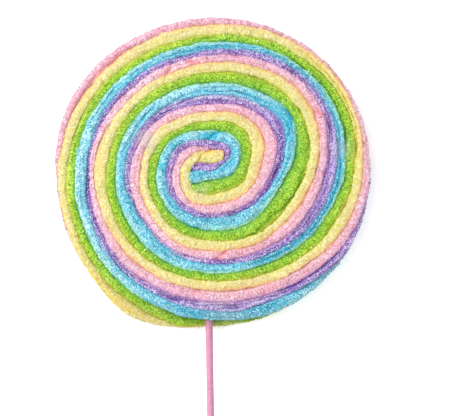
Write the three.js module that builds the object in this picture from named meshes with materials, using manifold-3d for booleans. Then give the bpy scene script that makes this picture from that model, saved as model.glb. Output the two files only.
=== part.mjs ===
// A large swirl lollipop, lying on its back.
//
// Five tall strips of sugared soft candy, in pink, yellow, green, blue and purple, lie side by side
// as one ribbon, and the ribbon is rolled up into a round head. A paper stick is pushed in through
// the rim. Lengths are in millimetres and angles in degrees. The swirl faces +Z, the stick points
// along -Y, and the origin is on the underside, below the point that the swirl winds about.
//
// A direction is a clock angle: 0 is +Y, and it grows clockwise, seen from above. Going clockwise
// leads inward, so a place along a strip is how far it is wound: its clock angle, plus 360 for each
// whole turn since the outermost one.

import * as THREE from 'three';
import { mergeVertices } from 'three/addons/utils/BufferGeometryUtils.js';
import Module from 'manifold-3d';

// ---- Driving dimensions ----

const THICKNESS = 18; // height of the strips, which is the thickness of the head
const RIM_DROP = 1.6; // the crests at the rim are this much lower than those in the middle
const DROP_FROM = 0.7; // share of the rim's radius from which the crests go down
const GAP = 0.3; // between two pieces that touch
const STEP = 8; // degrees from one section of a strip to the next

// The ribbon: what each strip takes of its width, from the outer wall inward, and where it begins.
// The outer ends lie low and rise to full height along the rim: each between two angles past its
// beginning, the green one late, because the stick passes over it.
const RIBBON = [
  { name: 'pink_strip', share: 0.213, begins: 228, rises: [-5, 50], colour: 0xf5bfcf },
  { name: 'yellow_strip', share: 0.213, begins: 180, rises: [5, 60], colour: 0xf3e69c },
  { name: 'green_strip', share: 0.214, begins: 146, rises: [36, 75], colour: 0x9ece49 },
  { name: 'blue_strip', share: 0.22, begins: 118, rises: [-15, 45], colour: 0x7dcddf },
  { name: 'purple_strip', share: 0.14, begins: 88, rises: [-20, 40], colour: 0xa88ecb },
];
const [PINK, YELLOW, GREEN, BLUE, PURPLE] = [0, 1, 2, 3, 4];
const TURNS = 4.57; // turns of the pink strip's outer wall, from twelve o'clock to the middle
const PITCH = 23.7; // width of the ribbon, which each turn adds to the radius
const CORE_RADIUS = 1.2; // radius that the windings would shrink to
const THINNEST = 1.1; // least width of a strip, where it is squeezed or where it begins
const END_TAPER = 26; // degrees in which an outer end widens and pushes the next strip off the rim

// The windings are not round: they drift sideways, and are oval and slightly three-cornered.
// Each is an amount in the middle, what every turn adds to it, and the direction it points in.
const DRIFT = { middle: 0.7, perTurn: 1.64, towards: 112 };
const OVAL = { middle: 3.4, perTurn: -0.26, towards: 68 };
const CORNERS = { middle: 1.6, perTurn: -0.3, towards: -50 };

// Places where the whole ribbon bulges (+) or is pressed in (-): a direction, the number of turns
// from the middle, how many degrees and turns it spreads over, and by how much.
const RIBBON_BULGES = [
  { towards: 45, turn: 2.25, width: 55, depth: 0.3, by: 4.2 },
  { towards: 75, turn: 0.75, width: 20, depth: 0.3, by: -9.4 },
  { towards: 105, turn: 1.5, width: 20, depth: 0.3, by: -3.2 },
  { towards: 150, turn: 1.75, width: 20, depth: 0.3, by: 2.3 },
  { towards: 180, turn: 2.75, width: 20, depth: 0.3, by: -2.3 },
];

// Places where only one strip's outer wall bulges or is pressed in, by how far it is wound.
const WALL_BULGES = [
  { wall: PINK, wound: 480, width: 12, by: 1.3 },
  { wall: PINK, wound: 810, width: 18, by: -3.3 },
  { wall: PINK, wound: 1080, width: 50, by: -1.3 },
  { wall: PINK, wound: 1205, width: 16, by: 1.2 },
  { wall: PINK, wound: 1395, width: 50, by: -1.6 },
  { wall: YELLOW, wound: 472, width: 14, by: 2.1 },
  { wall: YELLOW, wound: 630, width: 18, by: 2.7 },
  { wall: YELLOW, wound: 810, width: 18, by: -1.9 },
  { wall: YELLOW, wound: 920, width: 10, by: 1.4 },
  { wall: YELLOW, wound: 1210, width: 16, by: 1.2 },
  { wall: YELLOW, wound: 1290, width: 18, by: 1.7 },
  { wall: YELLOW, wound: 1365, width: 18, by: -1.3 },
  { wall: YELLOW, wound: 1425, width: 18, by: 1.8 },
  { wall: GREEN, wound: 340, width: 18, by: -1.5 },
  { wall: GREEN, wound: 430, width: 14, by: 1.8 },
  { wall: GREEN, wound: 480, width: 18, by: 1.7 },
  { wall: GREEN, wound: 845, width: 22, by: 1.7 },
  { wall: GREEN, wound: 1037, width: 10, by: -1.5 },
  { wall: GREEN, wound: 1155, width: 14, by: 1.7 },
  { wall: BLUE, wound: 778, width: 9, by: 2 },
  { wall: BLUE, wound: 825, width: 18, by: -2 },
  { wall: PURPLE, wound: 178, width: 12, by: 2 },
  { wall: PURPLE, wound: 276, width: 16, by: -1.2 },
  { wall: PURPLE, wound: 390, width: 18, by: 1.4 },
  { wall: PURPLE, wound: 478, width: 12, by: 1.5 },
  { wall: PURPLE, wound: 585, width: 18, by: -3 },
  { wall: PURPLE, wound: 779, width: 8, by: 2.3 },
  { wall: PURPLE, wound: 840, width: 20, by: 1.2 },
  { wall: PURPLE, wound: 885, width: 30, by: -1.4 },
];

// The rim: a circle that lies a little below the swirl's middle, with a bulge and a flat stretch.
const RIM = { radius: 84.5, drift: 3.9, driftTowards: 164, oval: 1, ovalTowards: 81 };
const RIM_BULGES = [
  { towards: 207, width: 10, by: 5.4 },
  { towards: 262, width: 8, by: -1.4 },
];

// The middle: the pink strip thins out, the yellow one ends in a round tip, and green, blue and
// purple turn round that tip and end against the yellow strip's inner wall.
const PINK_ENDS = 1424;
const PINK_TIP = [[-1, 9.3], [-1, 8.2]];
const TURN_BACK = 1070; // where green, blue and purple start to turn round the tip
const TURN_BACK_ENDS = 1270;
const TIP = [
  [1.6, 8.7], [4.8, 8.4], [7.2, 7.5], [8.2, 6], [8, 4.2],
  [6.8, 2.8], [4.4, 1.6], [0.7, 0.9], [-3.3, 1.8], [-7.9, 1.1],
]; // round the yellow tip, from its outer wall to its inner one
const NOTCH_STARTS = 1272;
const NOTCH_ENDS = 1426;
const NOTCH = [
  [-8.4, -13.8], [-10.3, -9.7], [-10.5, -4.9], [-9.6, -1.1],
  [-7.9, 1.1], [-5.9, 1.8], [-3.5, 1.9],
]; // the yellow strip's inner wall, from the end of green to under the tip
const TIP_SIDE = 4; // points of TIP from the outer wall to the very end, and as many back
const TURN_BACK_SHARES = [0.44, 0.81]; // where the walls green-blue and blue-purple lie, past the bend
const BEND_SHARE = 0.4; // share of the turn back in which those walls move to their new places
// Where the purple strip swells (-) or is pinched (+) on its way round the tip: the share of that
// way, how long the place is, and how far the strip's outer wall is moved towards the tip, as a
// share of the distance between green's outer wall and the tip.
const PURPLE_SWELLS = [[0.36, 0.06, -0.05], [0.59, 0.09, 0.09], [0.87, 0.07, -0.12]];
const STRIP_ENDS = [[-5.4, -15.1], [-9.5, -10.2], [-9.6, -2.6], [-8.1, 0.4]]; // the last walls' ends

// The section of a strip, as shares of its width: a flat foot, straight walls and a rounded crest.
const FOOT_INSET = 0.22;
const CREST_INSET = 0.28;
const ROUNDING = 0.38; // height of the rounding at foot and crest
const LUMP = 0.45; // how much the crests rise and fall along a strip
const LUMP_WAVES = [5.3, 13.7]; // lumps per turn, of two kinds that run through each other

const END_HEIGHT = 5.6; // of the outer ends, before they rise

const STICK = { diameter: 4, length: 200, innerEnd: 62, atX: -1, lean: 1, edge: 0.4, sides: 20 };

// ---- The windings ----

const radians = THREE.MathUtils.degToRad;

function bell(distance, width) {
  return Math.exp(-0.5 * (distance / width) ** 2);
}

function between(clock, towards) {
  return THREE.MathUtils.euclideanModulo(clock - towards + 180, 360) - 180;
}

function unevenness({ middle, perTurn, towards }, turn, lobes, clock) {
  return (middle + perTurn * turn) * Math.cos(lobes * radians(clock - towards));
}

// Distance from the middle of a strip's outer wall. Wall 5 is the purple strip's inner one, and
// so the pink strip's outer one, a turn further in.
function wallRadius(wall, wound) {
  if (wall === RIBBON.length) {
    return wallRadius(PINK, wound + 360);
  }
  const outside = RIBBON.slice(0, wall).reduce((sum, strip) => sum + strip.share, 0);
  const turn = TURNS - wound / 360 - outside;
  let radius = CORE_RADIUS + PITCH * turn;
  radius += unevenness(DRIFT, turn, 1, wound);
  radius += unevenness(OVAL, turn, 2, wound);
  radius += unevenness(CORNERS, turn, 3, wound);
  for (const bulge of RIBBON_BULGES) {
    const around = bell(between(wound, bulge.towards), bulge.width);
    radius += bulge.by * around * bell(turn - bulge.turn, bulge.depth);
  }
  for (const bulge of WALL_BULGES) {
    if (bulge.wall === wall) {
      radius += bulge.by * bell(wound - bulge.wound, bulge.width);
    }
  }
  return radius;
}

function rimRadius(clock) {
  let radius = RIM.radius;
  radius += RIM.drift * Math.cos(radians(clock - RIM.driftTowards));
  radius += RIM.oval * Math.cos(2 * radians(clock - RIM.ovalTowards));
  for (const bulge of RIM_BULGES) {
    radius += bulge.by * bell(between(clock, bulge.towards), bulge.width);
  }
  return radius;
}

function fromMiddle(radius, clock) {
  return new THREE.Vector3(radius * Math.sin(radians(clock)), radius * Math.cos(radians(clock)), 0);
}

// A wall's point. A wall lies at the rim until the strip outside it begins. From there that strip
// has at least its least width, and pushes the wall inward to where the windings have it.
function wallPoint(wall, wound) {
  if (wall === PINK && wound >= RIBBON[PURPLE].begins + 360) {
    return wallPoint(RIBBON.length, wound - 360);
  }
  const rim = rimRadius(wound);
  if (wall === PINK || wound < RIBBON[wall - 1].begins) {
    return fromMiddle(rim, wound);
  }
  const outside = Math.min(wallRadius(wall - 1, wound), rim) - THINNEST;
  const inside = Math.min(wallRadius(wall, wound), outside);
  const pushed = THREE.MathUtils.smoothstep(wound - RIBBON[wall - 1].begins, 0, END_TAPER);
  const radius = Math.min(THREE.MathUtils.lerp(rim, inside, pushed), rim - THINNEST);
  return fromMiddle(radius, wound);
}

function curveThrough(points) {
  return new THREE.CatmullRomCurve3(points, false, 'centripetal');
}

function flatPoint([x, y]) {
  return new THREE.Vector3(x, y, 0);
}

// Round the yellow tip: the side of the purple strip that faces it.
const tipCurve = curveThrough([wallPoint(PINK, TURN_BACK + 360), ...TIP.map(flatPoint)]);

// The yellow strip's inner wall in its last half turn.
const notchCurve = curveThrough([wallPoint(GREEN, NOTCH_STARTS), ...NOTCH.map(flatPoint)]);

// A wall of green, blue or purple where they turn round the tip: a share of the way from the
// yellow strip outside them to the yellow tip inside.
function turnBackPoint(wall, wound) {
  const along = (wound - TURN_BACK) / (TURN_BACK_ENDS - TURN_BACK);
  const outside = wallPoint(GREEN, wound);
  const inside = tipCurve.getPoint(along);
  if (wall === GREEN) {
    return outside;
  }
  if (wall > PURPLE) {
    return inside;
  }
  const start = [GREEN, wall, RIBBON.length].map((w) => wallRadius(w, TURN_BACK));
  const shareAtStart = (start[0] - start[1]) / (start[0] - start[2]);
  const bend = THREE.MathUtils.smoothstep(along, 0, BEND_SHARE);
  let share = THREE.MathUtils.lerp(shareAtStart, TURN_BACK_SHARES[wall - BLUE], bend);
  if (wall === PURPLE) {
    for (const [at, width, by] of PURPLE_SWELLS) {
      share += by * bell(along - at, width);
    }
  }
  return outside.lerp(inside, share);
}

// ---- The strips ----

// A strip is a row of sections, each from a point on its outer wall to one on its inner wall.
function sectionsOf(strip) {
  const begins = RIBBON[strip].begins;
  const sections = [];
  const add = (wound, outer, inner) => sections.push({ wound, outer, inner });

  let last = TURN_BACK;
  if (strip === PINK) {
    last = PINK_ENDS;
  }
  if (strip === YELLOW) {
    last = NOTCH_STARTS;
  }
  for (let wound = Math.ceil(begins / STEP) * STEP; wound <= last; wound += STEP) {
    add(wound, wallPoint(strip, wound), wallPoint(strip + 1, wound));
  }
  if (strip === PINK) {
    add(PINK_ENDS + STEP, ...PINK_TIP.map(flatPoint));
  }
  if (strip === YELLOW) {
    addYellowTip(add);
  }
  if (strip >= GREEN) {
    for (let wound = Math.ceil(TURN_BACK / STEP) * STEP; wound < TURN_BACK_ENDS; wound += STEP) {
      add(wound, turnBackPoint(strip, wound), turnBackPoint(strip + 1, wound));
    }
    const [outer, inner] = STRIP_ENDS.slice(strip - GREEN, strip - GREEN + 2).map(flatPoint);
    add(TURN_BACK_ENDS + STEP, outer, inner);
  }
  return sections;
}

function addYellowTip(add) {
  for (let wound = NOTCH_STARTS + STEP; wound <= NOTCH_ENDS; wound += STEP) {
    const along = (wound - NOTCH_STARTS) / (NOTCH_ENDS - NOTCH_STARTS);
    add(wound, wallPoint(YELLOW, wound), notchCurve.getPoint(along));
  }
  const tip = TIP.map(flatPoint);
  for (let i = 0; i < TIP_SIDE; i += 1) {
    add(NOTCH_ENDS + STEP * (i + 1), tip[i], tip[2 * TIP_SIDE - 1 - i]);
  }
}

function heightAt(strip, wound, radius) {
  const past = wound - RIBBON[strip].begins;
  const risen = THREE.MathUtils.smoothstep(past, ...RIBBON[strip].rises);
  const rimDrop = RIM_DROP * THREE.MathUtils.smoothstep(radius, DROP_FROM * RIM.radius, RIM.radius);
  const lumps = LUMP_WAVES.map((perTurn) => Math.sin(radians(wound * perTurn) + strip));
  const lump = (LUMP / 2) * (lumps[0] + lumps[1]);
  return THREE.MathUtils.lerp(END_HEIGHT, THICKNESS - rimDrop, risen) + lump;
}

// The corners of one section, as [share of the way inward, height].
function outline(width, height) {
  const rounding = ROUNDING * width;
  return [
    [FOOT_INSET, 0],
    [1 - FOOT_INSET, 0],
    [1, rounding],
    [1, height - rounding],
    [1 - CREST_INSET, height],
    [CREST_INSET, height],
    [0, height - rounding],
    [0, rounding],
  ];
}

function stripGeometry(strip) {
  const sections = sectionsOf(strip);
  const positions = [];
  for (const { wound, outer, inner } of sections) {
    const inward = inner.clone().sub(outer).normalize();
    const near = outer.clone().addScaledVector(inward, GAP / 2);
    const far = inner.clone().addScaledVector(inward, -GAP / 2);
    const height = heightAt(strip, wound, outer.length());
    for (const [share, z] of outline(near.distanceTo(far), height)) {
      const corner = near.clone().lerp(far, share);
      positions.push(corner.x, corner.y, z);
    }
  }

  const corners = outline(1, 1).length;
  const faces = [];
  for (let i = 0; i + 1 < sections.length; i += 1) {
    for (let k = 0; k < corners; k += 1) {
      const a = i * corners + k;
      const b = i * corners + ((k + 1) % corners);
      faces.push(a, b + corners, b, a, a + corners, b + corners);
    }
  }
  const lastSection = (sections.length - 1) * corners;
  for (let k = 1; k + 1 < corners; k += 1) {
    faces.push(0, k, k + 1);
    faces.push(lastSection, lastSection + k + 1, lastSection + k);
  }
  const geometry = new THREE.BufferGeometry();
  geometry.setAttribute('position', new THREE.Float32BufferAttribute(positions, 3));
  geometry.setIndex(faces);
  return geometry;
}

// ---- The stick, and the hole that it makes ----

// A round rod with its inner end in the head, pointing along -Y with a slight lean.
function rodGeometry(radius, length, edge) {
  const profile = [
    [0, 0],
    [radius - edge, 0],
    [radius, edge],
    [radius, length - edge],
    [radius - edge, length],
    [0, length],
  ];
  return new THREE.LatheGeometry(profile.map(([x, y]) => new THREE.Vector2(x, y)), STICK.sides);
}

function stickPlace() {
  const turned = new THREE.Matrix4().makeRotationZ(Math.PI + radians(STICK.lean));
  return turned.setPosition(STICK.atX, -STICK.innerEnd, THICKNESS / 2);
}

const wasm = await Module();
wasm.setup();

function solid(geometry) {
  const bare = geometry.clone();
  bare.deleteAttribute('normal');
  bare.deleteAttribute('uv');
  const merged = mergeVertices(bare, 1e-4);
  return new wasm.Manifold(
    new wasm.Mesh({
      numProp: 3,
      vertProperties: new Float32Array(merged.attributes.position.array),
      triVerts: new Uint32Array(merged.index.array),
    }),
  );
}

function geometryOf(manifold) {
  const mesh = manifold.getMesh();
  const geometry = new THREE.BufferGeometry();
  geometry.setAttribute('position', new THREE.BufferAttribute(mesh.vertProperties, 3));
  geometry.setIndex(new THREE.BufferAttribute(mesh.triVerts, 1));
  return geometry;
}

// ---- The lollipop ----

function named(name, geometry, colour, roughness) {
  geometry.computeVertexNormals();
  const material = new THREE.MeshStandardMaterial({ color: colour, roughness, metalness: 0 });
  const mesh = new THREE.Mesh(geometry, material);
  mesh.name = name;
  return mesh;
}

const lollipop = new THREE.Group();

const holeRadius = STICK.diameter / 2 + GAP;
const hole = rodGeometry(holeRadius, STICK.length, STICK.edge).applyMatrix4(stickPlace());
hole.translate(0, GAP, 0);
const drill = solid(hole);
RIBBON.forEach((strip, index) => {
  const pierced = solid(stripGeometry(index)).subtract(drill);
  lollipop.add(named(strip.name, geometryOf(pierced), strip.colour, 0.9));
});

const stick = named(
  'stick',
  rodGeometry(STICK.diameter / 2, STICK.length, STICK.edge),
  0xdb9ab4,
  0.85,
);
stick.applyMatrix4(stickPlace());
lollipop.add(stick);

export default lollipop;
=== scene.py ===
"""A large swirl lollipop of sugared soft candy on a pink paper stick, lying on a white table.

Lengths are in millimetres and become metres as each mesh is made. Angles are in degrees. The swirl
faces +Z and the stick points along -Y. A direction is a clock angle: 0 is +Y, and it grows
clockwise. Going clockwise leads inward, so a place along a strip is how far it is wound: its clock
angle, plus 360 for each whole turn since the outermost one.
"""

import math

import bpy
import numpy as np
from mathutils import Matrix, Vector, noise


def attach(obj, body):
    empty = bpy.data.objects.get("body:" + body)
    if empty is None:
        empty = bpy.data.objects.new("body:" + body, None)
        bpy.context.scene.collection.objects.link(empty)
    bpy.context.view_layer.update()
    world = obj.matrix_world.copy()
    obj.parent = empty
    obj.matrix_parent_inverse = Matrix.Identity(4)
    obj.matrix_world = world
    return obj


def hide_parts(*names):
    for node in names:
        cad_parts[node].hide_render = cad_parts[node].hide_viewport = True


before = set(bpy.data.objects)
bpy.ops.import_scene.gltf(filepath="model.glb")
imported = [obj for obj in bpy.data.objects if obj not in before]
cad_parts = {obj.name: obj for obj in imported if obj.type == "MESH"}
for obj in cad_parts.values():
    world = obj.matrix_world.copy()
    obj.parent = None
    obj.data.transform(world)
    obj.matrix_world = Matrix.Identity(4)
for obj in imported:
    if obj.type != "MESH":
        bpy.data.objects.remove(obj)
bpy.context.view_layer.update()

# ---- The ribbon of candy strips ----
# Five strips of aerated sugar candy lie side by side as one ribbon, and the ribbon is rolled up while
# soft, so neighbours share their walls. Only the plump crests and the rim show: they are puckered and
# folded lengthwise and pale where sugar lies on them. Painted shade and bounce light deepen them in the
# creases and folds, and painted light and shade follow which way each side faces the lamp.

MM = 0.001
THICKNESS = 16.9  # from the table to the crests, under their sugar
RIM_DROP = 1.6  # how much lower the crests are at the rim
DROP_FROM = 0.7  # share of the rim's radius that they stay level for
SECTION_STEP = 8  # degrees between the sections that are worked out before they are smoothed
# What each strip takes of the ribbon, from the outer wall inward, where it begins, between how many
# degrees past its beginning its low outer end rises to full height, and how much lower it stays.
RIBBON = [
    {"name": "pink", "share": 0.213, "begins": 228, "rises": (-5, 50), "sunk": 0},
    {"name": "yellow", "share": 0.213, "begins": 180, "rises": (5, 60), "sunk": 0},
    {"name": "green", "share": 0.214, "begins": 146, "rises": (36, 75), "sunk": 0.5},
    {"name": "blue", "share": 0.22, "begins": 118, "rises": (-15, 45), "sunk": 0},
    {"name": "purple", "share": 0.14, "begins": 88, "rises": (-20, 40), "sunk": 0.4},
]
PINK, YELLOW, GREEN, BLUE, PURPLE = range(5)
TURNS = 4.57  # that the outermost wall would make on its way to the core
PITCH = 23.7  # from one turn of the ribbon to the next
CORE_RADIUS = 1.2
THINNEST = 1.1  # that a strip gets where it is pressed
# Drift, oval and corners of the windings: amount in the middle, more with each turn, direction.
WAVES = [(0.7, 1.64, 112), (3.4, -0.26, 68), (1.6, -0.3, -50)]
# Where the whole ribbon bulges or is pressed in: direction, turn, degrees, turns, amount.
RIBBON_BULGES = [
    (45, 2.25, 55, 0.3, 4.2),
    (75, 0.75, 20, 0.3, -9.4),
    (105, 1.5, 20, 0.3, -3.2),
    (150, 1.75, 20, 0.3, 2.3),
    (180, 2.75, 20, 0.3, -2.3),
]
# Where one strip's outer wall does so: strip, how far it is wound, degrees, amount.
WALL_BULGES = [
    (PINK, 480, 12, 1.3),
    (PINK, 810, 18, -3.3),
    (PINK, 1080, 50, -1.3),
    (PINK, 1205, 16, 1.2),
    (PINK, 1395, 50, -1.6),
    (YELLOW, 472, 14, 2.1),
    (YELLOW, 630, 18, 2.7),
    (YELLOW, 810, 18, -1.9),
    (YELLOW, 920, 10, 1.4),
    (YELLOW, 1210, 16, 1.2),
    (YELLOW, 1290, 18, 1.7),
    (YELLOW, 1365, 18, -1.3),
    (YELLOW, 1425, 18, 1.8),
    (GREEN, 340, 18, -1.5),
    (GREEN, 430, 14, 1.8),
    (GREEN, 480, 18, 1.7),
    (GREEN, 845, 22, 1.7),
    (GREEN, 1037, 10, -1.5),
    (GREEN, 1155, 14, 1.7),
    (BLUE, 778, 9, 2),
    (BLUE, 825, 18, -2),
    (PURPLE, 178, 12, 2),
    (PURPLE, 276, 16, -1.2),
    (PURPLE, 390, 18, 1.4),
    (PURPLE, 478, 12, 1.5),
    (PURPLE, 585, 18, -3),
    (PURPLE, 779, 8, 2.3),
    (PURPLE, 840, 20, 1.2),
    (PURPLE, 885, 30, -1.4),
]
RIM_RADIUS = 84.5
RIM_WAVES = [(3.9, 164), (1, 81)]
RIM_BULGES = [(207, 11, 6), (262, 8, -1.4), (302, 16, 0.9), (45, 20, 0.5)]
RIM_INSET = 0.2  # room for the puckers and the sugar at the rim
# The middle: how far wound pink ends, at which two points, and from where to where green, blue and
# purple turn back round the yellow strip's tip.
PINK_ENDS = 1424
PINK_TIP = [(0.6, 9.3), (0.6, 8.3)]
TURN_BACK = 1070
TURN_BACK_ENDS = 1270
# Points round the tip, how many of them lie along one side of it, and the notch inside yellow's last
# bend, where the others end: from where to where it goes and points along it.
TIP = [
    (1.6, 8.8), (4.8, 8.7), (7.3, 7.8), (8.4, 6.2), (8.2, 4.2),
    (6.9, 2.7), (4.4, 1.6), (0.7, 0.8), (-3.3, 1.7), (-7.9, 1.1),
]  # fmt: skip
TIP_SIDE = 4
NOTCH_STARTS = 1272
NOTCH_ENDS = 1426
NOTCH = [
    (-8.4, -13.8), (-10.3, -9.7), (-10.5, -4.9), (-9.6, -1.1),
    (-7.9, 1.1), (-5.9, 1.8), (-3.5, 1.9),
]  # fmt: skip
TURN_BACK_SHARES = [0.44, 0.81]  # where blue and purple begin, on the way from green's wall to the tip
BEND_SHARE = 0.4  # share of the turn in which they get there
# Where purple's outer wall swells out on the way round the tip (-) or is pressed in: how far on, how
# long and by what share of the way across.
PURPLE_SWELLS = [(0.36, 0.06, -0.05), (0.59, 0.09, 0.09), (0.87, 0.07, -0.12)]
# The corners between which green, blue and purple end against the yellow strip.
STRIP_ENDS = [(-7.2, -16), (-11.4, -10.8), (-11.5, -3.2), (-9.4, 0.9)]
END_HEIGHT = 5.4  # of the low outer ends
END_TAPER = 26  # degrees in which a strip's outer end widens and pushes the next one off the rim
LUMP = 0.45  # how much the height rises and falls along a strip
LUMP_WAVES = [5.3, 13.7]  # and how often in a turn


def bell(distance, width):
    """1 where the distance is 0, and less with each width away from there."""
    return np.exp(-0.5 * (distance / width) ** 2)


def between(clock, towards):
    """Degrees from one direction to another, the short way round."""
    return (clock - towards + 180) % 360 - 180


def smoothstep(value, low, high):
    share = np.clip((value - low) / (high - low), 0, 1)
    return share * share * (3 - 2 * share)


def wall_radius(wall, wound):
    """Distance from the middle of a strip's outer wall. Wall 5 is the purple strip's inner one."""
    if wall == len(RIBBON):
        return wall_radius(PINK, wound + 360)
    turn = TURNS - wound / 360 - sum(strip["share"] for strip in RIBBON[:wall])
    radius = CORE_RADIUS + PITCH * turn
    for lobes, (middle, per_turn, towards) in enumerate(WAVES, 1):
        radius += (middle + per_turn * turn) * math.cos(lobes * math.radians(wound - towards))
    for towards, at_turn, width, depth, by in RIBBON_BULGES:
        radius += by * bell(between(wound, towards), width) * bell(turn - at_turn, depth)
    for bulging, at, width, by in WALL_BULGES:
        if bulging == wall:
            radius += by * bell(wound - at, width)
    return radius


def rim_radius(clock):
    radius = RIM_RADIUS
    for lobes, (by, towards) in enumerate(RIM_WAVES, 1):
        radius += by * math.cos(lobes * math.radians(clock - towards))
    for towards, width, by in RIM_BULGES:
        radius += by * bell(between(clock, towards), width)
    return radius


def wall_point(wall, wound):
    """A wall's point. It lies at the rim until the strip outside it begins."""
    if wall == PINK and wound >= RIBBON[PURPLE]["begins"] + 360:
        return wall_point(len(RIBBON), wound - 360)
    radius = rim = rim_radius(wound) - RIM_INSET
    if wall > PINK:
        pushed = smoothstep(wound - RIBBON[wall - 1]["begins"], 0, END_TAPER)
        inside = min(wall_radius(wall, wound), min(wall_radius(wall - 1, wound), rim) - THINNEST)
        radius += (inside - rim) * pushed
    clock = math.radians(wound)
    return np.array((radius * math.sin(clock), radius * math.cos(clock)))


def curve_point(points, share):
    """A point of a smooth curve through these points, each an equal share of it from the next."""
    points = [np.array(point, float) for point in points]
    last = len(points) - 1
    first = min(int(share * last), last - 1)
    u = share * last - first
    b, c = points[first], points[first + 1]
    a = points[first - 1] if first > 0 else 2 * b - c
    d = points[first + 2] if first + 2 <= last else 2 * c - b
    ab, bc, cd = (math.sqrt(math.dist(p, q)) for p, q in ((a, b), (b, c), (c, d)))
    leave = ((b - a) / ab - (c - a) / (ab + bc) + (c - b) / bc) * bc
    arrive = ((c - b) / bc - (d - b) / (bc + cd) + (d - c) / cd) * bc
    bend = -3 * b + 3 * c - 2 * leave - arrive
    return b + leave * u + bend * u**2 + (2 * b - 2 * c + leave + arrive) * u**3


tip_curve = [wall_point(PINK, TURN_BACK + 360), *TIP]
notch_curve = [wall_point(GREEN, NOTCH_STARTS), *NOTCH]


def turn_back_point(wall, wound):
    along = (wound - TURN_BACK) / (TURN_BACK_ENDS - TURN_BACK)
    outside = wall_point(GREEN, wound)
    inside = curve_point(tip_curve, along)
    if wall == GREEN:
        return outside
    if wall > PURPLE:
        return inside
    start = [wall_radius(w, TURN_BACK) for w in (GREEN, wall, len(RIBBON))]
    share_at_start = (start[0] - start[1]) / (start[0] - start[2])
    bend = smoothstep(along, 0, BEND_SHARE)
    share = share_at_start + (TURN_BACK_SHARES[wall - BLUE] - share_at_start) * bend
    if wall == PURPLE:
        share += sum(by * bell(along - at, width) for at, width, by in PURPLE_SWELLS)
    return outside + (inside - outside) * share


def sections_of(strip):
    """How far a strip is wound at each section, and the ends of the section at its two walls."""
    last = {PINK: PINK_ENDS, YELLOW: NOTCH_STARTS}.get(strip, TURN_BACK)
    step = SECTION_STEP
    first = math.ceil(RIBBON[strip]["begins"] / step) * step
    rows = [(w, wall_point(strip, w), wall_point(strip + 1, w)) for w in range(first, last + 1, step)]
    if strip == PINK:
        rows.append((PINK_ENDS + step, *PINK_TIP))
    if strip == YELLOW:
        for wound in range(NOTCH_STARTS + step, NOTCH_ENDS + 1, step):
            along = (wound - NOTCH_STARTS) / (NOTCH_ENDS - NOTCH_STARTS)
            rows.append((wound, wall_point(YELLOW, wound), curve_point(notch_curve, along)))
        for i in range(TIP_SIDE):
            rows.append((NOTCH_ENDS + step * (i + 1), TIP[i], TIP[2 * TIP_SIDE - 1 - i]))
    if strip >= GREEN:
        first = math.ceil(TURN_BACK / step) * step
        for wound in range(first, TURN_BACK_ENDS, step):
            rows.append((wound, turn_back_point(strip, wound), turn_back_point(strip + 1, wound)))
        rows.append((TURN_BACK_ENDS + step, *STRIP_ENDS[strip - GREEN : strip - GREEN + 2]))
    wound, outer, inner = zip(*rows)
    return np.array(wound, float), np.array(outer, float), np.array(inner, float)


def smooth_line(points, at):
    """Values of a smooth line through the points, at places counted in points."""
    slopes = np.gradient(points, axis=0)
    first = np.clip(at.astype(int), 0, len(points) - 2)
    u = at - first
    if points.ndim > 1:
        u = u[:, None]
    hermite = (
        (2 * u**3 - 3 * u**2 + 1) * points[first] + (u**3 - 2 * u**2 + u) * slopes[first],
        (3 * u**2 - 2 * u**3) * points[first + 1] + (u**3 - u**2) * slopes[first + 1],
    )
    return hermite[0] + hermite[1]


def field(places, size, seed):
    """Smooth noise from about -1 to 1 at each place, with features of about this size."""
    shift = Vector((seed * 17.3, seed * 5.1, seed * 9.7))
    return np.array([noise.noise(Vector(place) / size + shift) for place in places])


STATION_STEP = 0.6  # from one station along a strip to the next
PLACES_PER_SECTION = 20  # that a strip's length is measured at
WALL_WOBBLES = [(16, 0.3), (6, 0.4), (2.2, 0.4)]  # over what length a shared wall wanders, and how far
# What a strip's section is rounded over, as a share of its width, and of its height at most: its foot,
# its crest between two neighbours, and its crest on the side that lies free at the rim.
FOOT_DEPTH = (0.25, 0.3)
CREST_DEPTH = (0.32, 0.4)
FREE_DEPTH = (1.25, 0.6)
FREE_FROM = 6  # a side that stands this much higher than what is outside it lies all free
CREST_LEAN = (18, 0.26)  # over what length a crest wanders sideways, and by what share of its width
CREST_SAG = (14, 0.6)  # over what length a crest sinks and rises against its neighbours, and how far
CREST_POWER = 2.8  # 2 would be an ellipse
PINCHED_SINK = (1, 3, 0.7)  # a strip 1 wide lies 0.7 lower than its neighbours, one 3 wide no lower
CREST_POINTS = 17
WALL_POINTS = 6
FOOT_POINTS = 5
SHOULDER = 0.4  # share of its rise below which a crest loses its folds and goes over into the wall
FLANK_SHOWS = 1  # how far down behind its neighbour's crest a strip's outer flank still shows
PUCKERS = [(6, 0.45), (2.4, 0.3)]  # size and height of the puckers in the crests
FLANK_PUCKERS = 0.4  # how much of that is left on the flanks
RIDGES = (0.8, 2.6, 0.28)  # length along the strip, length across it and height of its fine ridges
SUGAR_ROOM = 0.35  # that the surface leaves for the puckers and the sugar
LOWEST = 0.25  # over the table
END_ROUNDING = (2.4, 1.4)  # of the outer end, and of the inner one, which is pressed into a wall
END_FACE = 0.02  # share of the rounding that the ends are cut off at
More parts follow.
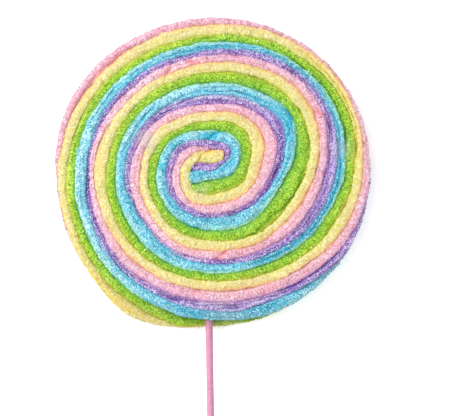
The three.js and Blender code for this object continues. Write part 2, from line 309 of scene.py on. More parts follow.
# How narrow the painted shade and bounce light in the creases is, along the outer edge of each strip and
# the inner.
CREASE_POWERS = [(3, 3), (2, 3), (3, 2), (3, 3), (3, 3)]
LAMP_CLOCK = 295  # the clock angle of the lamp, which the painted light and shade follow
LAMP_SIDE_PALER = [0.15, 0.15, 0.15, 0.22, 0.12]  # painted light: how much paler the half of a crest that faces that way is, and the other half deeper
LAMP_SIDE_CREASE_LOSS = 0.4  # painted shade: how much less outer crease colour there is where the outer edge faces the lamp, and more where it faces away
FREE_CREASE = 0.9  # how much of that colour is lost where no strip lies outside
FOLD_DEEPEST = 1.5  # depth at which a fold gets the full painted shade of its fold colour
STRETCH_FADE = 10  # degrees to each side in which these paler and deeper stretches fade in and out
# Stretches painted paler (+) and deeper (-): partly fine sugar lying thick and worn off, partly painted
# shade in creases and under higher neighbours, and painted light. Strip, wound from and to, how much on
# the outer half of the crest and on the inner half.
SUGAR_AND_SHADE_STRETCHES = [
    (PINK, 228, 375, -0.35, -0.3),
    (PINK, 440, 470, 0, -0.3),
    (PINK, 498, 530, -0.5, -0.1),
    (PINK, 600, 705, 0.4, 1),
    (PINK, 865, 890, -0.5, -0.2),
    (PINK, 925, 990, 0.3, 0.6),
    (PINK, 1190, 1215, 0.3, 0.2),
    (PINK, 1290, 1395, 0.1, 0.5),
    (PINK, 1405, 1440, -0.6, -0.6),
    (YELLOW, 170, 245, -0.7, -1),
    (YELLOW, 400, 465, 0.6, -0.5),
    (YELLOW, 645, 685, 0, 0.6),
    (YELLOW, 870, 895, -0.7, 0),
    (YELLOW, 925, 1070, 0.2, 0.3),
    (YELLOW, 1310, 1340, 0.1, 0.8),
    (YELLOW, 1382, 1402, 0.5, 0.7),
    (GREEN, 250, 300, 0.8, 1),
    (GREEN, 300, 405, 0.3, 0.35),
    (GREEN, 420, 478, 0.4, 0.2),
    (GREEN, 500, 590, -0.25, -0.25),
    (GREEN, 620, 650, 0.1, 0.5),
    (GREEN, 650, 682, -0.9, 0.7),
    (GREEN, 682, 720, 0.3, 0.5),
    (GREEN, 770, 798, 0.3, 0.3),
    (GREEN, 814, 836, -0.7, 0.5),
    (GREEN, 852, 880, 0.3, 0.3),
    (GREEN, 920, 985, -0.45, 0),
    (GREEN, 985, 1015, -0.9, 0.4),
    (GREEN, 1045, 1085, 0.25, 0.2),
    (GREEN, 1165, 1200, -0.5, 0.3),
    (GREEN, 1222, 1245, -0.4, -0.5),
    (GREEN, 1250, 1300, 0.3, 0.3),
    (BLUE, 152, 195, -1.2, -0.9),
    (BLUE, 216, 300, 0.8, 0.8),
    (BLUE, 312, 345, 0.4, 0.1),
    (BLUE, 385, 425, -0.7, -0.6),
    (BLUE, 438, 516, -1, -1),
    (BLUE, 640, 770, 0.4, 0.8),
    (BLUE, 775, 800, -1.2, 0.1),
    (BLUE, 870, 915, -0.3, -0.6),
    (BLUE, 925, 948, -0.3, -0.4),
    (BLUE, 955, 978, 0.5, 0.6),
    (BLUE, 992, 1035, -0.3, -0.9),
    (BLUE, 1045, 1072, 1, 0.5),
    (BLUE, 1085, 1140, 0.2, 0.5),
    (BLUE, 1150, 1190, -0.2, 0.6),
    (BLUE, 1205, 1225, -1, -0.5),
    (BLUE, 1240, 1290, -1, -0.2),
    (PURPLE, 80, 145, -0.4, -0.2),
    (PURPLE, 150, 228, 0.5, 0.7),
    (PURPLE, 236, 270, -1, -0.6),
    (PURPLE, 278, 325, -0.8, -0.2),
    (PURPLE, 335, 375, -0.5, 0.5),
    (PURPLE, 388, 412, -0.5, -0.6),
    (PURPLE, 418, 452, 0.3, 1.1),
    (PURPLE, 455, 490, 0, 0.4),
    (PURPLE, 508, 532, -0.4, -0.6),
    (PURPLE, 545, 595, 0.3, 1),
    (PURPLE, 600, 615, -0.5, -0.2),
    (PURPLE, 660, 775, 0.9, 0),
    (PURPLE, 785, 880, -1.5, -0.8),
    (PURPLE, 900, 930, -0.8, -0.3),
    (PURPLE, 950, 985, -0.4, -0.3),
    (PURPLE, 1020, 1078, 0.6, 0.1),
    (PURPLE, 1120, 1190, -0.1, -0.3),
    (PURPLE, 1190, 1222, 0.3, 0.2),
]
# Where coarse white sugar has been spilled: x, y, how far it reaches and how thick it lies.
SPILLS = [
    (-35.5, 14.5, 3, 0.75),
    (-32, 10, 2, 0.4),
    (-5, -13.8, 2.4, 0.3),
    (71, 9, 4, 0.3),
    # The last patch greys and dulls the blue on the lower rim, where it slopes away.
    (9, -80.5, 8, 0.2),
]
SPILL_UNEVEN = 0.4  # how much thicker it lies on the puckers than between them
# Tucks across a strip: strip, wound, degrees from its outer to its inner end, width and depth.
TUCKS = [
    (PINK, 613, -4, 1.2, 0.4),
    (PINK, 640, -3, 1.2, 0.4),
    (PINK, 697, 4, 1.2, 0.8),
    (PINK, 710, -6, 1.4, 0.9),
    (PINK, 784, 3, 1.2, 0.7),
    (PINK, 893, 8, 1.6, 0.8),
    (YELLOW, 1412, 43, 6, 1.1),
    (BLUE, 786, -18, 3, 0.9),
    (BLUE, 1086, 22, 4.5, 1.2),
    (BLUE, 985, 14, 3, 0.9),
]
RIDGE_DEEPER = 0.42  # how much painted shade the strips get between the fine ridges
FLANK_PAINTED_LIGHT = (-0.35, 1.6)  # painted light on the flank of the rim, paler (+) and deeper (-): where it faces the lamp, and where it faces away
LEAN_PAINTED_LIGHT = [0.05, 0, 0.12, 0.28, 0.15]  # painted light on the outer half of a crest and painted shade on the inner half, as if it leaned outward
FOLD_LENGTH = 16  # long shallow folds that run along the strips
FOLD_WIDTH = [0.26, 0.26, 0.22, 0.15, 0.18]  # share of a strip's width
FOLD_DEPTH = [0.34, 0.26, 0.4, 0.8, 1.1]
FOLD_WANDERS = [(0.07, 9), (0.04, 23)]  # how far a deep fold strays from its share, how often in a turn
FOLD_FADE = 5  # degrees to each side of its ends in which a deep fold runs out
# Deep folds: strip, wound from and to, the share of the width they lie at, width and depth.
FOLDS = [
    (PINK, 284, 328, 0.86, 0.13, 0.75),
    (PINK, 690, 722, 0.6, 0.12, 0.4),
    (PINK, 975, 1000, 0.6, 0.1, 0.56),
    (YELLOW, 206, 234, 0.3, 0.12, 0.88),
    (YELLOW, 398, 426, 0.5, 0.13, 1.1),
    (YELLOW, 420, 450, 0.74, 0.12, 1.1),
    (GREEN, 395, 440, 0.86, 0.1, 0.96),
    (GREEN, 786, 872, 0.22, 0.1, 0.72),
    (BLUE, 300, 330, 0.45, 0.12, 0.8),
    (BLUE, 336, 366, 0.66, 0.1, 0.72),
    (BLUE, 360, 412, 0.36, 0.12, 0.64),
    (BLUE, 424, 450, 0.7, 0.12, 1.04),
    (BLUE, 446, 512, 0.5, 0.1, 1.12),
    (BLUE, 636, 676, 0.66, 0.1, 0.8),
    (BLUE, 690, 790, 0.68, 0.07, 0.72),
    (BLUE, 930, 968, 0.62, 0.1, 0.64),
    (BLUE, 1060, 1096, 0.5, 0.12, 0.72),
    (PURPLE, 128, 152, 0.75, 0.14, 0.96),
    (PURPLE, 150, 246, 0.56, 0.08, 0.88),
    (PURPLE, 252, 278, 0.25, 0.16, 1.3),
    (PURPLE, 400, 430, 0.36, 0.08, 0.64),
    (PURPLE, 426, 492, 0.55, 0.07, 0.88),
    (PURPLE, 430, 480, 0.8, 0.06, 0.64),
    (PURPLE, 604, 700, 0.52, 0.08, 0.64),
    (PURPLE, 696, 762, 0.58, 0.1, 0.72),
    (PURPLE, 792, 866, 0.38, 0.15, 1),
    (PURPLE, 1050, 1100, 0.5, 0.1, 0.64),
]


def height_at(strip, wound, radius):
    """Height of a strip's crest."""
    risen = smoothstep(wound - RIBBON[strip]["begins"], *RIBBON[strip]["rises"])
    full = THICKNESS - RIM_DROP * smoothstep(radius, DROP_FROM * RIM_RADIUS, RIM_RADIUS)
    full -= RIBBON[strip]["sunk"]
    lump = sum(np.sin(np.radians(wound * per_turn) + strip) for per_turn in LUMP_WAVES) * LUMP / 2
    return END_HEIGHT + (full - END_HEIGHT) * risen + lump


def height_outside(strip, wound, radius):
    """Height of what lies against a strip's outer wall: its neighbour, or nothing at the rim."""
    beside, wound_there = (strip - 1, wound) if strip > PINK else (PURPLE, wound - 360)
    there = wound_there >= RIBBON[beside]["begins"]
    return np.where(there, height_at(beside, wound_there, radius), 0)


def section_shape():
    """Places round a section: share of the width, and how far up the foot, wall and crest each is."""
    shares, crest, foot, up = [], [], [], []

    def corner(t, power):
        return math.copysign(abs(math.cos(t)) ** (2 / power), math.cos(t)), math.sin(t) ** (2 / power)

    for i in range(FOOT_POINTS):
        across, down = corner(math.pi * (1 - (i + 0.5) / FOOT_POINTS), 4)
        shares.append(0.5 + across / 2)
        foot.append(1 - down)
        crest.append(0)
        up.append(0)
    for i in range(WALL_POINTS):
        shares.append(1)
        foot.append(1)
        crest.append(0)
        up.append((i + 0.5) / WALL_POINTS)
    for i in range(CREST_POINTS):
        across, rise = corner(math.pi * i / (CREST_POINTS - 1), CREST_POWER)
        shares.append(0.5 + across / 2)
        foot.append(1)
        crest.append(rise)
        up.append(1)
    for i in range(WALL_POINTS):
        shares.append(0)
        foot.append(1)
        crest.append(0)
        up.append(1 - (i + 0.5) / WALL_POINTS)
    return np.array(shares), np.array(foot), np.array(up), np.array(crest)


def grid_normals(grid):
    """Normals of a closed tube of points, [station, place round the section]."""
    along = np.gradient(grid, axis=0)
    around = np.roll(grid, -1, axis=1) - np.roll(grid, 1, axis=1)
    normals = np.cross(around, along)
    return normals / np.maximum(np.linalg.norm(normals, axis=2, keepdims=True), 1e-9)


def stations_of(strip):
    """Even steps along a strip: how far wound and how far out each is, and its ends at the walls."""
    wound, outer, inner = sections_of(strip)
    places = np.linspace(0, len(wound) - 1, PLACES_PER_SECTION * len(wound))
    middle = smooth_line((outer + inner) / 2, places)
    length = np.append(0, np.cumsum(np.linalg.norm(np.diff(middle, axis=0), axis=1)))
    count = int(length[-1] / STATION_STEP)
    at = np.interp(np.linspace(0, length[-1], count), length, places)
    wound, outer, inner = (smooth_line(line, at) for line in (wound, outer, inner))
    radius = np.linalg.norm(outer, axis=1)
    rim = np.array([rim_radius(w) for w in wound])
    for wall in (outer, inner):
        flat = np.column_stack((wall, np.zeros(count)))
        for seed, (size, by) in enumerate(WALL_WOBBLES, 1):
            wander = np.column_stack([field(flat, size, seed), field(flat, size, -seed)])
            wall += by * wander
        from_middle = np.linalg.norm(wall, axis=1)
        wall *= (np.minimum(from_middle, rim - RIM_INSET) / from_middle)[:, None]
    return wound, radius, outer, inner


def along_stretch(wound, start, end, fade):
    """1 between two places along a strip and 0 beyond them, going over in so many degrees."""
    begun = smoothstep(wound, start - fade, start + fade)
    return begun * (1 - smoothstep(wound, end - fade, end + fade))


def strip_field(strip, along, across, apart, seed):
    """Smooth noise over a strip, at places counted in its features, set apart from the other strips."""
    places = np.stack(np.broadcast_arrays(along, across, np.float64(strip * apart)), axis=-1)
    return field(places.reshape(-1, 3), 1, seed).reshape(places.shape[:2])


def grooves_of(strip, wound, run, shares, on_crest):
    """How deep the folds and tucks go down into a strip's crest."""
    groove = np.zeros_like(on_crest)
    wander = sum(by * np.sin(np.radians(wound * waves)) for by, waves in FOLD_WANDERS)
    for folded, start, end, share, breadth, depth in FOLDS:
        if folded == strip:
            from_fold = shares - share - wander
            groove += depth * along_stretch(wound, start, end, FOLD_FADE) * bell(from_fold, breadth)
    shallow = strip_field(strip, run / FOLD_LENGTH, shares / FOLD_WIDTH[strip], 7.7, 3)
    groove += FOLD_DEPTH[strip] * np.clip(-shallow, 0, 1) * 2
    groove *= on_crest
    for tucked, at, slant, breadth, depth in TUCKS:
        if tucked == strip:
            from_tuck = wound - at - slant * (0.5 - shares)
            groove += depth * bell(from_tuck, breadth) * on_crest
    return groove


def dust_and_painted_light_of(strip, wound, lamp_facing, free, shares, crest):
    """How much paler (+) and deeper (-) a strip is, from sugar and worn places, and from painted light
    and shade.
    """
    # Painted light and shade on the rim's flank and on the crests' halves, by which way they face the
    # lamp.
    flank_painted_light = FLANK_PAINTED_LIGHT[0] + (FLANK_PAINTED_LIGHT[1] - FLANK_PAINTED_LIGHT[0]) * (1 - lamp_facing) / 2
    dust_and_painted_light = flank_painted_light * free * np.clip(1 - 2 * shares, 0, 1)
    crest_painted_light = LEAN_PAINTED_LIGHT[strip] + LAMP_SIDE_PALER[strip] * lamp_facing
    dust_and_painted_light = dust_and_painted_light + crest_painted_light * np.sin(2 * np.pi * shares) * (crest > 0)
    for marked_strip, start, end, on_outer, on_inner in SUGAR_AND_SHADE_STRETCHES:
        if marked_strip == strip:
            amount = on_outer + (on_inner - on_outer) * smoothstep(shares, 0.25, 0.75)
            dust_and_painted_light = dust_and_painted_light + amount * along_stretch(wound, start, end, STRETCH_FADE)
    return dust_and_painted_light


def strip_surface(strip):
    """A strip's points, [station, place round the section], and facts about each of them."""
    wound, radius, outer, inner = stations_of(strip)
    run = np.arange(len(wound)) * STATION_STEP
    run_places = np.column_stack((run, np.full(len(run), strip * 31.0), np.zeros(len(run))))
    width = np.linalg.norm(inner - outer, axis=1)
    height = height_at(strip, wound, radius) + CREST_SAG[1] * field(run_places, CREST_SAG[0], 11)
    height -= PINCHED_SINK[2] * (1 - smoothstep(width, *PINCHED_SINK[:2]))
    from_ends = np.minimum(run / END_ROUNDING[0], run[::-1] / END_ROUNDING[1])
    height = height * np.sqrt(1 - (1 - np.clip(from_ends, END_FACE, 1)) ** 2)
    outside = height_outside(strip, wound, radius)
    lean = CREST_LEAN[1] * field(run_places, CREST_LEAN[0], 12)

    # From here on a station's numbers stand in columns, and those of a place round the section in rows.
    wound, run, width, height, outside, lean = (
        line[:, None] for line in (wound, run, width, height, outside, lean)
    )
    shares, foot, up, crest = section_shape()
    outward = shares < 0.5
    free = np.clip((height - outside) / FREE_FROM, 0, 1)

    def rounded_over(of_width, of_height):
        return np.minimum(of_width * width, of_height * height)

    deep_in = rounded_over(*CREST_DEPTH)
    deep_out = deep_in + (rounded_over(*FREE_DEPTH) - deep_in) * free
    deep = np.where(outward, deep_out, deep_in)
    foot_top = rounded_over(*FOOT_DEPTH)
    z = foot_top * foot + (height - deep - foot_top) * up + deep * crest
    across = shares + lean * (1 - (2 * shares - 1) ** 2) * (crest > 0)
    plan = outer[:, None] + (inner - outer)[:, None] * across[..., None]

    # Folds go straight down into the crest, puckers out along the surface.
    on_crest = np.clip(crest / SHOULDER, 0, 1) * np.ones_like(z)
    showing = np.where(outward & (crest < SHOULDER), z > outside - FLANK_SHOWS, 0)
    showing = np.maximum(on_crest, showing)
    groove = grooves_of(strip, wound, run, shares, on_crest)
    ridges = strip_field(strip, run / RIDGES[0], shares * width / RIDGES[1], 3.3, 8)
    grid = np.dstack((plan, z - groove))
    puckered = np.zeros(z.size)
    for seed, (size, depth) in enumerate(PUCKERS, 4):
        puckered += depth * field(grid.reshape(-1, 3), size, seed)
    puckered = puckered.reshape(z.shape)
    lift = puckered + RIDGES[2] * ridges - SUGAR_ROOM
    lift *= showing * (FLANK_PUCKERS + (1 - FLANK_PUCKERS) * np.clip(crest * 1.5, 0, 1))
    grid += grid_normals(grid) * lift[..., None]
    grid[..., 2] = np.maximum(grid[..., 2], LOWEST)

    # How far each station faces the lamp's side of the head, which the painted light and shade follow.
    lamp_facing = np.cos(np.radians(wound - LAMP_CLOCK))
    spilled = np.zeros_like(z)
    for x, y, reach, thick in SPILLS:
        spilled += thick * bell(np.hypot(grid[..., 0] - x, grid[..., 1] - y), reach)
    near_edge = np.abs(2 * shares - 1) * np.ones_like(z)
    outer_power, inner_power = CREASE_POWERS[strip]
    outer_crease_shade = near_edge**outer_power * (1 - free * FREE_CREASE) * (1 - LAMP_SIDE_CREASE_LOSS * lamp_facing)
    return grid, {
        # The crease colours are painted shade with painted bounce light, and the fold colour is painted
        # shade.
        "outer_crease_shade": np.where(outward, np.clip(outer_crease_shade, 0, 1), 0),
        "inner_crease_shade": np.where(outward, 0, near_edge**inner_power),
        "fold": np.clip(groove / FOLD_DEEPEST - ridges * RIDGE_DEEPER, 0, 1),
        "dust_and_painted_light": dust_and_painted_light_of(strip, wound, lamp_facing, free, shares, crest),
        "spilled": np.clip(spilled + SPILL_UNEVEN * spilled * puckered, 0, 1),
        "showing": showing,
    }


def tube_mesh(name, grid, facts):
    """A closed tube from a grid of points, with both ends shut by a fan and its facts kept."""
    stations, around = grid.shape[:2]
    ends = grid[[0, -1]].mean(axis=1)
    points = np.vstack((grid.reshape(-1, 3), ends)) * MM
    index = np.arange(stations * around).reshape(stations, around)
    a, b = index[:-1], np.roll(index, -1, axis=1)[:-1]
    c, d = np.roll(index, -1, axis=1)[1:], index[1:]
    quads = np.stack((a, d, c, b), axis=-1).reshape(-1, 4)
    faces = quads.tolist()
    tail, head = stations * around, stations * around + 1
    first, last = index[0], index[-1]
    for i in range(around):
        j = (i + 1) % around
        faces.append((tail, first[i], first[j]))
        faces.append((head, last[j], last[i]))
    mesh = bpy.data.meshes.new(name)
    mesh.from_pydata(points.tolist(), [], faces)
    for fact, values in facts.items():
        layer = mesh.attributes.new(fact, "FLOAT", "POINT")
        flat = np.append(values.ravel(), (values[0].mean(), values[-1].mean()))
        layer.data.foreach_set("value", flat.astype(np.float32))
    mesh.polygons.foreach_set("use_smooth", np.ones(len(faces), bool))
    mesh.update()
    return mesh


def node(tree, kind, **sockets):
    """A shader node with these inputs set, or linked where the value is another node's output."""
    made = tree.nodes.new(kind)
    for name, value in sockets.items():
        socket = made.inputs[name.replace("_", " ")]
        if isinstance(value, bpy.types.NodeSocket):
            tree.links.new(value, socket)
        else:
            socket.default_value = value
    return made


def mixed(tree, factor, first, second):
    """The output of a colour mix."""
    made = tree.nodes.new("ShaderNodeMix")
    made.data_type = "RGBA"  # its sockets 6 and 7 take the colours, and socket 2 gives the mix
    for socket, value in ((made.inputs[0], factor), (made.inputs[6], first), (made.inputs[7], second)):
        if isinstance(value, bpy.types.NodeSocket):
            tree.links.new(value, socket)
        else:
            socket.default_value = value
    return made.outputs[2]


def ranged(tree, value, low, high, to_low=0.0, to_high=1.0):
    """A value moved from one range to another, and kept in it."""
    made = node(tree, "ShaderNodeMapRange", Value=value)
    for name, number in (("From Min", low), ("From Max", high), ("To Min", to_low), ("To Max", to_high)):
        made.inputs[name].default_value = number
    return made.outputs["Result"]


def noise_of(tree, place, scale, detail=2.0):
    """The output of a noise texture in object space, in features per metre."""
    made = node(tree, "ShaderNodeTexNoise", Vector=place, Scale=scale, Detail=detail)
    return made.outputs["Fac"]


def fact_of(tree, name):
    """The output of a fact that the mesh keeps for each point."""
    made = tree.nodes.new("ShaderNodeAttribute")
    made.attribute_name = name
    return made.outputs["Fac"]


def linear(red, green, blue):
    """A colour from 0-255 values, as the shader wants it."""
    parts = [value / 255 for value in (red, green, blue)]
    parts = [p / 12.92 if p <= 0.04045 else ((p + 0.055) / 1.055) ** 2.4 for p in parts]
    return (*parts, 1)


# Light on the table is this much over 1, so a colour as it looks there is divided by it.
LIGHT_LEVEL = 1.6


def candy_colour(red, green, blue):
    """The colour of a surface that looks like these 0-255 values under the room's light."""
    return (*(part / LIGHT_LEVEL for part in linear(red, green, blue)[:3]), 1)


# Colour of each candy between the grains of sugar, of its body, and of the palest sugar on it.
CANDY = {
    "pink": (candy_colour(212, 142, 162), candy_colour(243, 204, 220), candy_colour(252, 233, 243)),
    "yellow": (candy_colour(221, 202, 106), candy_colour(237, 230, 160), candy_colour(250, 247, 210)),
    "green": (candy_colour(95, 160, 0), candy_colour(173, 225, 34), candy_colour(219, 247, 100)),
    "blue": (candy_colour(24, 152, 184), candy_colour(138, 235, 250), candy_colour(208, 248, 255)),
    "purple": (candy_colour(98, 68, 162), candy_colour(217, 181, 252), candy_colour(247, 232, 255)),
}
# Painted shade and painted bounce light along each strip's outer edge and its inner one, down in the
# creases, and painted shade in its folds. Light goes back and forth between two strips, so each crease
# is painted with some of its neighbour's colour.
CREASE_SHADE_COLOURS = {
    "pink": (candy_colour(222, 168, 228), candy_colour(252, 186, 160), candy_colour(252, 138, 144)),
    "yellow": (candy_colour(252, 188, 142), candy_colour(216, 226, 112), candy_colour(250, 218, 48)),
    "green": (candy_colour(222, 198, 62), candy_colour(80, 178, 80), candy_colour(76, 170, 0)),
    "blue": (candy_colour(190, 246, 172), candy_colour(104, 180, 214), candy_colour(34, 198, 230)),
    "purple": (candy_colour(126, 172, 218), candy_colour(196, 120, 170), candy_colour(124, 74, 188)),
}
SPILLED_COLOUR = candy_colour(218, 206, 200)
PATCH_SCALE = 70  # patches of thicker sugar, per metre
GRAIN_SCALE = 1100  # and grains
GRAIN_BUMP = 0.4


def dusted_and_shaded(tree, colour, name):
    """A colour that is paler where sugar lies thick and where light is painted, and deeper where it is
    worn off and where shade is painted.
    """
    deep, _, pale = CANDY[name]
    dust_and_painted_light = fact_of(tree, "dust_and_painted_light")
    colour = mixed(tree, ranged(tree, dust_and_painted_light, 0, 1), colour, pale)
    return mixed(tree, ranged(tree, dust_and_painted_light, 0, -1), colour, deep)


def creased(tree, colour, name):
    """A colour that goes over to painted shade and bounce light in the creases, to painted shade in the
    folds, and to spilled sugar.
    """
    for fact, there in zip(("outer_crease_shade", "inner_crease_shade", "fold"), CREASE_SHADE_COLOURS[name]):
        colour = mixed(tree, fact_of(tree, fact), colour, there)
    return mixed(tree, fact_of(tree, "spilled"), colour, SPILLED_COLOUR)


def new_material(name):
    """A material, its nodes and its shader."""
    material = bpy.data.materials.new(name)
    material.use_nodes = True
    tree = material.node_tree
    return material, tree, tree.nodes["Principled BSDF"]


def place_on(tree):
    """The place in object space that a texture is worked out from."""
    return tree.nodes.new("ShaderNodeTexCoord").outputs["Object"]


def placed(mesh):
    """A piece made of this mesh, in the scene."""
    piece = bpy.data.objects.new(mesh.name, mesh)
    bpy.context.scene.collection.objects.link(piece)
    return piece


def candy_material(name):
    deep, body, pale = CANDY[name]
    material, tree, shader = new_material(f"{name}_candy")
    place = place_on(tree)
    patches = ranged(tree, noise_of(tree, place, PATCH_SCALE), 0.4, 0.7, 0, 0.5)
    grain = node(tree, "ShaderNodeTexVoronoi", Vector=place, Scale=GRAIN_SCALE).outputs["Distance"]
    colour = mixed(tree, patches, body, pale)
    colour = mixed(tree, ranged(tree, grain, 0.2, 0.75, 0, 0.75), colour, deep)
    colour = creased(tree, dusted_and_shaded(tree, colour, name), name)
    tree.links.new(colour, shader.inputs["Base Color"])
    rough = ranged(tree, grain, 0.2, 0.7, 0.6, 0.85)
    tree.links.new(rough, shader.inputs["Roughness"])
    bump = node(tree, "ShaderNodeBump", Strength=0.6, Distance=GRAIN_BUMP * MM, Height=grain)
    bump.invert = True
    tree.links.new(bump.outputs["Normal"], shader.inputs["Normal"])
    return material


surfaces = []
for number, strip in enumerate(RIBBON):
    grid, facts = strip_surface(number)
    surfaces.append((grid, facts))
    mesh = tube_mesh(f"{strip['name']}_candy_strip", grid, facts)
    mesh.materials.append(candy_material(strip["name"]))
    piece = placed(mesh)
    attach(piece, "root")
    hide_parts(f"{strip['name']}_strip")

# ---- The sugar on the strips ----
# Fine crystals of sugar that the strips are rolled in before they are wound. They lie thick on the
# crests and the rim and thinly in the creases and underneath. A few of them catch the light.

GRAINS = 48000  # for each colour
GRAIN_SIZE = (0.32, 0.52)
COARSE_SIZE = (0.38, 0.58)  # of the palest grains and the deepest
STRAYED = 0.3  # how far grains have strayed across the strips
GRAIN_STRETCH = (1.6, 0.8, 0.6)  # the rollers have left the grains lying across the strips
GRAIN_UNEVEN = (0.8, 1.2)  # how much smaller or larger a grain is in each direction
GRAIN_TURN = 0.35  # how far a grain is turned away from that, in radians
GRAIN_RISE = 0.12  # how far a grain's middle stands out of the candy, as a share of its size
LOWEST_GRAIN = 0.02  # over the table
UNDERNEATH = (2, 0.3, 0.12)  # below this height, a face that looks down this much has this share of it
CREASE_LOSS = 0.6  # how much less sugar there is deep in a crease
PALE_GRAINS = 0.28  # share of the grains
DEEP_GRAINS = 0.34
SPARKLING = 0.0025  # share of them that catch the light
MIDDLE_SHADES = (0.25, 0.75)  # of the other grains, where 0 is deep and 1 is pale
SPARKLE = 1.2  # shade of the grains that catch the light
SPARKLE_COLOUR = (0.8, 0.8, 0.8, 1)
rng = np.random.default_rng(7)
# A grain has four corners, every other one of a cube.
CRYSTAL = np.array([(1, 1, 1), (-1, 1, -1), (-1, -1, 1), (1, -1, -1)]) / 2
CRYSTAL_FACES = np.array([(0, 1, 2), (0, 2, 3), (0, 3, 1), (1, 3, 2)])


def turned(axes, angle):
    """Frames with these axes as columns, each turned at random by about an angle."""
    spin = rng.normal(size=(len(axes), 3)) * angle
    amount = np.linalg.norm(spin, axis=1)[:, None, None]
    x, y, z = (spin / amount[:, 0]).T
    none = np.zeros_like(x)
    cross = np.stack([np.stack(r, -1) for r in ((none, -z, y), (z, none, -x), (-y, x, none))], 1)
    return axes @ (np.eye(3) + np.sin(amount) * cross + (1 - np.cos(amount)) * cross @ cross)


def scattered(grid, facts, count):
    """Random places on a tube's faces that show: points, axes (across, along, out) and facts."""
    a, b = grid[:-1], np.roll(grid, -1, axis=1)[:-1]
    c, d = np.roll(grid, -1, axis=1)[1:], grid[1:]
    normal = np.cross(c - a, b - d)
    area = np.linalg.norm(normal, axis=2) / 2
    normal /= np.maximum(2 * area, 1e-9)[..., None]

    def face_mean(fact):
        ahead = np.roll(fact, -1, axis=1)
        return (fact[:-1] + ahead[:-1] + ahead[1:] + fact[1:]) / 4

    facts = {name: face_mean(fact) for name, fact in facts.items()}
    crease = np.maximum(facts["outer_crease_shade"], facts["inner_crease_shade"])
    underneath = (a[..., 2] < UNDERNEATH[0]) & (normal[..., 2] < -UNDERNEATH[1])
    on_top = facts["showing"] * (1 - CREASE_LOSS * crease)
    weight = area * np.where(underneath, UNDERNEATH[2], on_top)
    chosen = rng.choice(area.size, count, p=(weight / weight.sum()).ravel())
    u, v = rng.random((2, count, 1))
    a, b, c, d = (corner.reshape(-1, 3)[chosen] for corner in (a, b, c, d))
    points = (a * (1 - u) + b * u) * (1 - v) + (d * (1 - u) + c * u) * v
    out = normal.reshape(-1, 3)[chosen]
    across = b - a
    across -= out * (across * out).sum(1, keepdims=True)
    across /= np.maximum(np.linalg.norm(across, axis=1, keepdims=True), 1e-9)
    points += across * rng.normal(size=(count, 1)) * STRAYED
    axes = np.stack((across, np.cross(out, across), out), axis=-1)
    return points, axes, {name: fact.ravel()[chosen] for name, fact in facts.items()}


def crystals_mesh(name, points, axes, sizes, facts):
    """Crystals at these points, half sunk in the surface, as one mesh."""
    count = len(points)
    stretch = sizes[:, None] * GRAIN_STRETCH * rng.uniform(*GRAIN_UNEVEN, (count, 3))
    corners = CRYSTAL[None] * stretch[:, None]
    corners = np.einsum("nij,nkj->nki", turned(axes, GRAIN_TURN), corners)
    corners += (points + axes[..., 2] * sizes[:, None] * GRAIN_RISE)[:, None]
    corners[..., 2] = np.maximum(corners[..., 2], LOWEST_GRAIN)
    faces = (CRYSTAL_FACES[None] + np.arange(count)[:, None, None] * len(CRYSTAL)).reshape(-1, 3)
    mesh = bpy.data.meshes.new(name)
    mesh.vertices.add(count * len(CRYSTAL))
    mesh.vertices.foreach_set("co", (corners * MM).astype(np.float32).ravel())
    mesh.loops.add(faces.size)
    mesh.loops.foreach_set("vertex_index", faces.astype(np.int32).ravel())
    mesh.polygons.add(len(faces))
    mesh.polygons.foreach_set("loop_start", np.arange(0, faces.size, 3, dtype=np.int32))
    mesh.polygons.foreach_set("use_smooth", np.zeros(len(faces), bool))
    for fact, values in facts.items():
        layer = mesh.attributes.new(fact, "FLOAT", "POINT")
        layer.data.foreach_set("value", np.repeat(values, len(CRYSTAL)).astype(np.float32))
    mesh.update(calc_edges=True)
    return mesh


def sugar_material(name):
    deep, body, pale = CANDY[name]
    material, tree, shader = new_material(f"{name}_sugar")
    shade = fact_of(tree, "shade")
    colour = dusted_and_shaded(tree, body, name)
    colour = mixed(tree, ranged(tree, shade, 0.5, 0), colour, deep)
    colour = mixed(tree, ranged(tree, shade, 0.5, 1), colour, pale)
    colour = creased(tree, colour, name)
    colour = mixed(tree, ranged(tree, shade, 1, SPARKLE), colour, SPARKLE_COLOUR)
    tree.links.new(colour, shader.inputs["Base Color"])
    shader.inputs["Roughness"].default_value = 0.5
    shader.inputs["Specular IOR Level"].default_value = 0.25
    return material


for number, strip in enumerate(RIBBON):
    grid, facts = surfaces[number]
    points, axes, facts_there = scattered(grid, facts, GRAINS)
    kind = rng.random(GRAINS)
    pale, deep = kind < PALE_GRAINS, kind > 1 - DEEP_GRAINS
    shade = np.select([pale, deep], [1, 0], rng.uniform(*MIDDLE_SHADES, GRAINS))
    shade[kind < SPARKLING] = SPARKLE
    sizes = np.where(pale | deep, rng.uniform(*COARSE_SIZE, GRAINS), rng.uniform(*GRAIN_SIZE, GRAINS))
    facts_there["shade"] = shade
    mesh = crystals_mesh(f"{strip['name']}_sugar", points, axes, sizes, facts_there)
    mesh.materials.append(sugar_material(strip["name"]))
    piece = placed(mesh)
    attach(piece, "root")

# ---- The paper stick ----
# A thin stick of tightly rolled pink paper, pushed in through the rim until it holds. The paper's edge
# runs round it as a faint spiral, and its free end is cut square.

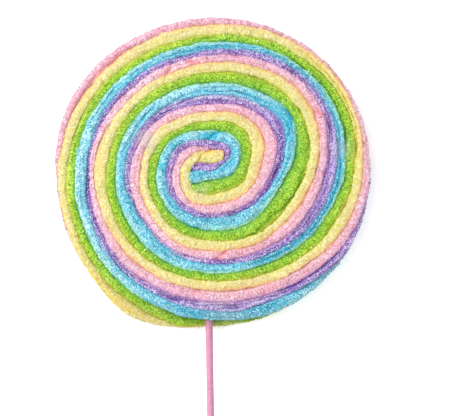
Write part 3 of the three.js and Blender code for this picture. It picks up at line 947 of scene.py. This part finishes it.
STICK_DIAMETER = 4
STICK_LENGTH = 200
STICK_AT = (-1, -62, 9)  # its inner end
STICK_LEAN = 1  # degrees to the right
STICK_STATIONS = 400
STICK_AROUND = 40
STICK_ROUNDING = 0.3  # of the edges of its ends
PAPER_TURN = 26  # length of stick in which the paper's edge goes round once
PAPER_STEP = 0.05  # how deep the line is that the edge leaves
PAPER_STEP_WIDTH = 0.12  # radians round the stick
PAPER_SHADE_WIDTH = 0.2  # of the darker colour in the line
FIBRE_SCALE = 900
PAPER_BUMP = 0.2
PAPER_COLOURS = (candy_colour(190, 120, 150), candy_colour(206, 140, 168))
PAPER_STEP_COLOUR = candy_colour(166, 94, 122)

along = np.linspace(0, STICK_LENGTH, STICK_STATIONS)
turn = np.linspace(2 * np.pi, 0, STICK_AROUND, endpoint=False)
from_end = np.minimum(along, STICK_LENGTH - along)
radius = STICK_DIAMETER / 2 - STICK_ROUNDING * (1 - np.clip(from_end / STICK_ROUNDING, 0, 1)) ** 2
past_edge = (turn[None] - 2 * np.pi * along[:, None] / PAPER_TURN) % (2 * np.pi)
radius = radius[:, None] - PAPER_STEP * bell(past_edge, PAPER_STEP_WIDTH)
lean = math.radians(STICK_LEAN)
grid = np.stack(
    (
        STICK_AT[0] + along[:, None] * math.sin(lean) + radius * np.cos(turn) * math.cos(lean),
        STICK_AT[1] - along[:, None] * math.cos(lean) + radius * np.cos(turn) * math.sin(lean),
        STICK_AT[2] + radius * np.sin(turn),
    ),
    axis=-1,
)
mesh = tube_mesh("paper_stick", grid, {"edge": bell(past_edge, PAPER_SHADE_WIDTH)})

material, tree, shader = new_material("rolled_paper")
fibres = noise_of(tree, place_on(tree), FIBRE_SCALE, 4)
colour = mixed(tree, ranged(tree, fibres, 0.35, 0.65), *PAPER_COLOURS)
near_step = ranged(tree, fact_of(tree, "edge"), 0.3, 1, 0, 0.5)
colour = mixed(tree, near_step, colour, PAPER_STEP_COLOUR)
tree.links.new(colour, shader.inputs["Base Color"])
shader.inputs["Roughness"].default_value = 0.6
bump = node(tree, "ShaderNodeBump", Strength=0.2, Distance=PAPER_BUMP * MM, Height=fibres)
tree.links.new(bump.outputs["Normal"], shader.inputs["Normal"])
mesh.materials.append(material)
stick = placed(mesh)
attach(stick, "root")
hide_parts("stick")

# ---- The table ----
# A wide white table top, smooth and matt. The lollipop lies on the feet of its strips, and its stick
# stays clear of the table.

TABLE_SIZE = 6000
TABLE_COLOURS = ((0.9, 0.9, 0.9, 1), (0.93, 0.93, 0.93, 1))
CLOUD_SCALE = 3
half = TABLE_SIZE / 2 * MM
corners = [(-half, -half, 0), (half, -half, 0), (half, half, 0), (-half, half, 0)]
mesh = bpy.data.meshes.new("table")
mesh.from_pydata(corners, [], [(0, 1, 2, 3)])
material, tree, shader = new_material("white_table")
cloudy = ranged(tree, noise_of(tree, place_on(tree), CLOUD_SCALE), 0.3, 0.7)
tree.links.new(mixed(tree, cloudy, *TABLE_COLOURS), shader.inputs["Base Color"])
shader.inputs["Roughness"].default_value = 0.9
mesh.materials.append(material)
placed(mesh)

# ---- The light ----
# Soft light from a bright room, and a wide lamp up to the left of the head, which shades the other side
# of each crest a little.

ROOM_LIGHT = 1.4
LAMP_AT = (-950, 480, 950)
LAMP_SIZE = 1200
LAMP_WATTS = 31

world = bpy.data.worlds.new("room")
bpy.context.scene.world = world
world.use_nodes = True
background = world.node_tree.nodes["Background"]
background.inputs["Color"].default_value = (1, 1, 1, 1)
background.inputs["Strength"].default_value = ROOM_LIGHT

light = bpy.data.lights.new("wide_lamp", "AREA")
light.size = LAMP_SIZE * MM
light.energy = LAMP_WATTS
lamp = bpy.data.objects.new(light.name, light)
lamp.location = Vector(LAMP_AT) * MM
lamp.rotation_mode = "QUATERNION"
lamp.rotation_quaternion = (-Vector(LAMP_AT)).to_track_quat("-Z", "Y")
bpy.context.scene.collection.objects.link(lamp)

# ---- The camera ----
# It looks straight down through a long lens. The whole head shows, high in the picture, and the stick
# is cut off by the lower edge.

PICTURE_WIDTH = 453  # pixels
MM_PER_PIXEL = 0.54
PICTURE_MIDDLE = (8.9, -23.2)  # the place it looks at
LENS = 200
SENSOR = 36
camera_data = bpy.data.cameras.new("camera")
camera_data.lens = LENS
camera_data.sensor_width = SENSOR
distance = PICTURE_WIDTH * MM_PER_PIXEL * LENS / SENSOR
camera = bpy.data.objects.new("camera", camera_data)
camera.location = Vector((*PICTURE_MIDDLE, THICKNESS + distance)) * MM
bpy.context.scene.collection.objects.link(camera)
bpy.context.scene.camera = camera
bpy.context.scene.view_settings.view_transform = "Standard"
